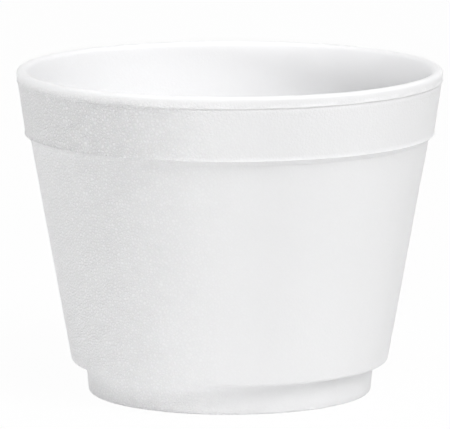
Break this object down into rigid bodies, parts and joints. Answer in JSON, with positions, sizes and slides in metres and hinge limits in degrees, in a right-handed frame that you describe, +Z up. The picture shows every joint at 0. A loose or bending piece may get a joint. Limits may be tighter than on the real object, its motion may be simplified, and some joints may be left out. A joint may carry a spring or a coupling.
{
  "type": "foam bowl",
  "caption": "Squat tapered round food bowl moulded in foam, with a rounded lip that a lid snaps over, a thick band below it, a stepped foot and a hollow base.",
  "frame": {"origin": "on the axis, in the plane that the foot ring stands on", "axes": "+Z up along the axis of the bowl, out of its mouth; X and Y are any two level directions, because the bowl is round"},
  "size_m": [0.108, 0.108, 0.0826],
  "materials": {
    "foam": "white expanded polystyrene, matt with a soft sheen, fine grain of fused beads"
  },
  "bodies": {
    "root": {"bowl": "foam"}
  },
  "joints": []
}
